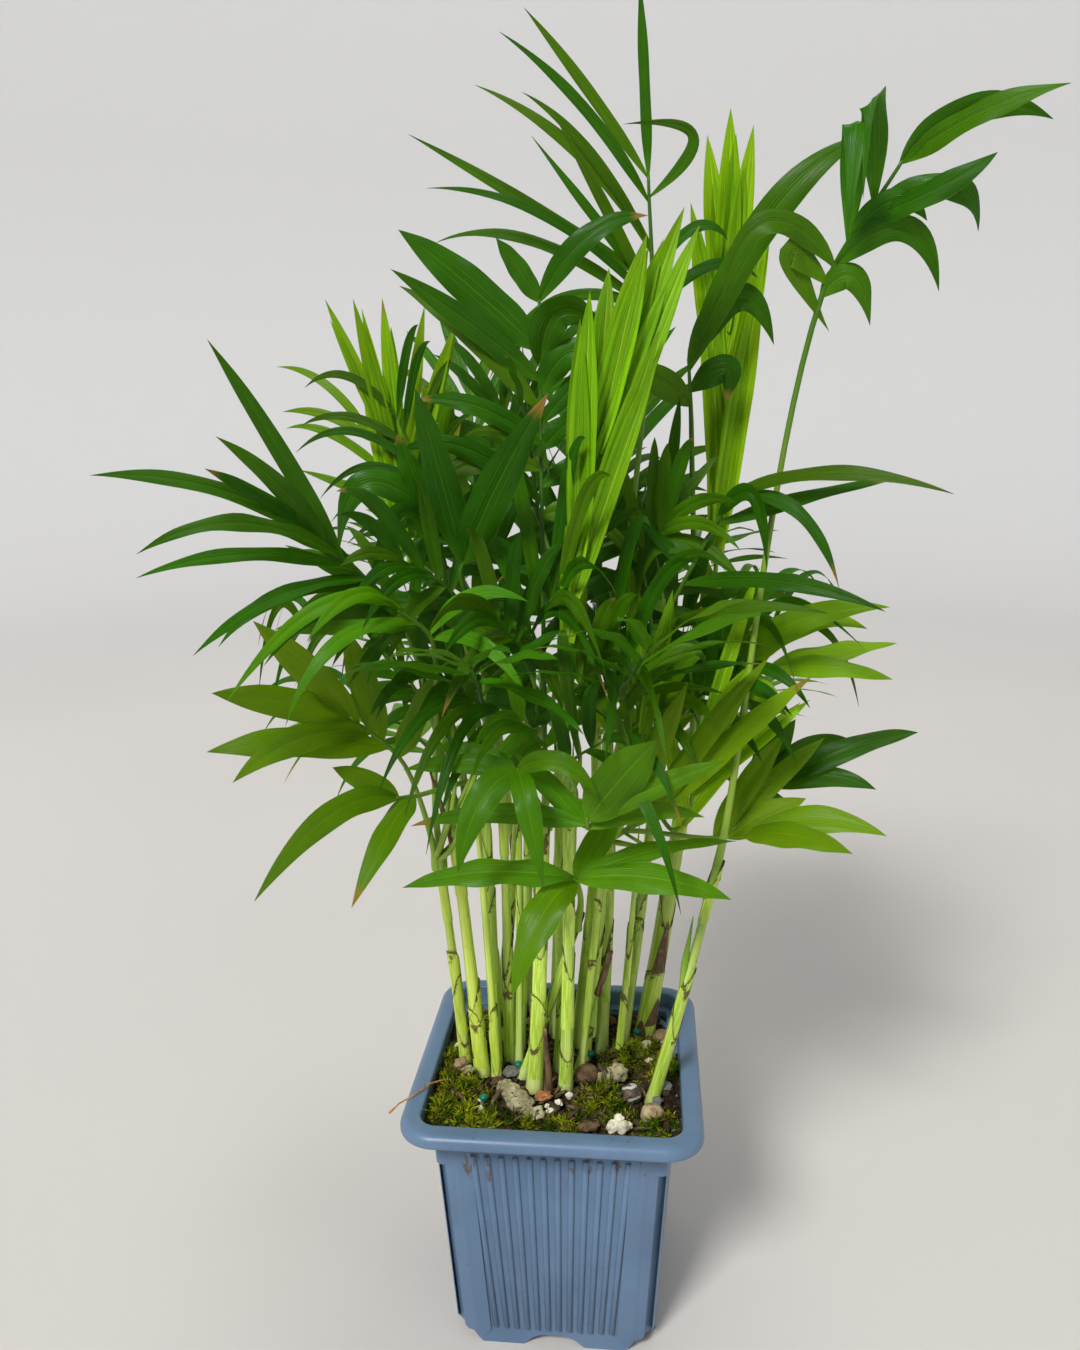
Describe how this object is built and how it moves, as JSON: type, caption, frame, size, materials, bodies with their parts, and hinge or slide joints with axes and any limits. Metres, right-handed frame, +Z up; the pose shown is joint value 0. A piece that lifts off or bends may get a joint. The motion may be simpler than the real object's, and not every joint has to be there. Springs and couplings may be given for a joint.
{
  "type": "potted parlour palm",
  "caption": "Young parlour palm: feathery green fronds on slim pale stems, in a small square blue-grey plastic nursery pot filled with soil.",
  "frame": {"origin": "middle of the whole plant's bounding box, at the level of the pot's flat underside", "axes": "+Z up along the pot's axis; the pot's sides are square to X and Y, and the front of the picture looks along +Y"},
  "size_m": [0.173, 0.1922, 0.3058],
  "materials": {
    "pot_plastic": "matte blue-grey plastic with brown soil stains",
    "soil": "rough dark potting compost",
    "pebbles": "rough pale pebble",
    "stems": "smooth pale green stem with brown scars",
    "leaves_dark": "waxy dark green leaf",
    "leaves_mid": "waxy mid green leaf",
    "leaves_young": "satin yellow-green young leaf"
  },
  "bodies": {
    "root": {"frond_back_left": "leaves_dark", "frond_back_low": "leaves_mid", "frond_back_low_left": "leaves_mid", "frond_back_low_right": "leaves_mid", "frond_back_middle": "leaves_dark", "frond_back_right": "leaves_dark", "frond_forked": "leaves_dark", "frond_front_hanging": "leaves_mid", "frond_front_left": "leaves_dark", "frond_front_low": "leaves_mid", "frond_front_oval": "leaves_mid", "frond_front_right": "leaves_dark", "frond_high_back": "leaves_dark", "frond_high_back_left": "leaves_dark", "frond_high_right": "leaves_dark", "frond_inner_left": "leaves_dark", "frond_left": "leaves_dark", "frond_left_arching": "leaves_mid", "frond_left_broad": "leaves_mid", "frond_left_hooked": "leaves_dark", "frond_left_low": "leaves_mid", "frond_left_thin": "leaves_mid", "frond_right": "leaves_dark", "frond_right_bright": "leaves_mid", "frond_right_broad": "leaves_mid", "frond_right_low": "leaves_dark", "frond_top": "leaves_dark", "frond_top_right": "leaves_dark", "frond_upper_middle": "leaves_dark", "pebble_pale": "pebbles", "pebble_round": "pebbles", "pebble_striped": "pebbles", "pot": "pot_plastic", "soil": "soil", "spear_left": "leaves_young", "spear_low_middle": "leaves_young", "spear_low_right": "leaves_young", "spear_middle": "leaves_young", "spear_right": "leaves_young", "stem_01": "stems", "stem_02": "stems", "stem_03": "stems", "stem_04": "stems", "stem_05": "stems", "stem_06": "stems", "stem_07": "stems", "stem_08": "stems", "stem_09": "stems", "stem_10": "stems", "stem_11": "stems", "stem_12": "stems", "stem_13": "stems", "stem_14": "stems", "stem_15": "stems", "stem_16": "stems", "stem_17": "stems", "stem_18": "stems", "stem_19": "stems", "stem_20": "stems"}
  },
  "joints": []
}
